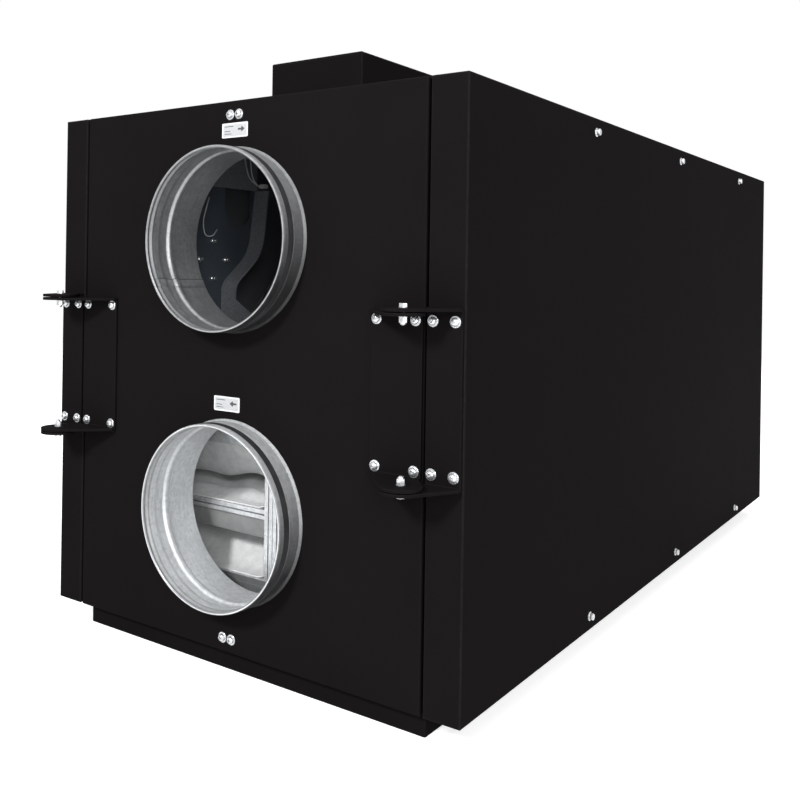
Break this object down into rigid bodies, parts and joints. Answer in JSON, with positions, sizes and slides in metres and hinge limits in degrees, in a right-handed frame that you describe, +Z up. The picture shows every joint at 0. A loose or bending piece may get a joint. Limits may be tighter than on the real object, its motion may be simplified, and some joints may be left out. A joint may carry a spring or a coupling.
{
  "type": "air handling unit",
  "caption": "Compact black air handling unit with round duct spigots, hinged side doors, a plate heat exchanger, fans, pocket filters and a control box on top.",
  "frame": {"origin": "middle of the casing's plan, on the floor under the base pan", "axes": "+Z up, -Y out of the front face with the door hinges, +X to the right seen from the front"},
  "size_m": [0.568, 1.286, 0.698],
  "materials": {
    "casing_paint": "black powder coat, satin, slightly mottled",
    "hinge_paint": "black powder coat, satin",
    "bright_zinc": "bright zinc plating",
    "galvanised": "galvanised sheet with a faint spangle",
    "seal_rubber": "matt black rubber",
    "exchanger_plates": "stacked thin dark plastic plates",
    "fan_moulding": "dark moulded plastic",
    "fan_black": "black moulded plastic",
    "filter_cloth": "white needled filter cloth",
    "gland_plastic": "black nylon"
  },
  "bodies": {
    "casing": {"front_panel": "casing_paint", "back_panel": "casing_paint", "roof_panel": "casing_paint", "floor_panel": "casing_paint", "base_pan": "casing_paint", "control_box": "casing_paint", "control_box_cover": "casing_paint", "left_fixed_leaf": "hinge_paint", "right_fixed_leaf": "hinge_paint", "left_hinge_bolts": "bright_zinc", "right_hinge_bolts": "bright_zinc", "front_upper_spigot": "galvanised", "front_lower_spigot": "galvanised", "back_upper_spigot": "galvanised", "back_lower_spigot": "galvanised", "exchanger_frame": "galvanised", "exchanger_rails": "galvanised", "front_filter_frame": "galvanised", "back_filter_frame": "galvanised", "front_filter_rails": "galvanised", "back_filter_rails": "galvanised", "front_upper_seal": "seal_rubber", "front_lower_seal": "seal_rubber", "back_upper_seal": "seal_rubber", "back_lower_seal": "seal_rubber", "exchanger_core": "exchanger_plates", "front_shelf": "fan_moulding", "back_shelf": "fan_moulding", "front_fan_plate": "fan_moulding", "back_fan_plate": "fan_moulding", "front_fan_motor": "fan_black", "back_fan_motor": "fan_black", "front_fan_wheel": "fan_black", "back_fan_wheel": "fan_black", "front_filter_pockets": "filter_cloth", "back_filter_pockets": "filter_cloth", "control_box_glands": "gland_plastic"},
    "left_door": {"left_door": "casing_paint", "left_door_liner": "casing_paint", "left_door_gasket": "seal_rubber", "left_door_leaf": "hinge_paint"},
    "right_door": {"right_door": "casing_paint", "right_door_liner": "casing_paint", "right_door_gasket": "seal_rubber", "right_door_leaf": "hinge_paint"}
  },
  "joints": [
    {"name": "left_door_hinge", "type": "hinge", "parent": "casing", "child": "left_door", "pos_m": [-0.2415, -0.635, 0.325], "axis": [0, 0, 1], "range_deg": [0, 110]},
    {"name": "right_door_hinge", "type": "hinge", "parent": "casing", "child": "right_door", "pos_m": [0.2415, -0.635, 0.325], "axis": [0, 0, -1], "range_deg": [0, 110]}
  ]
}
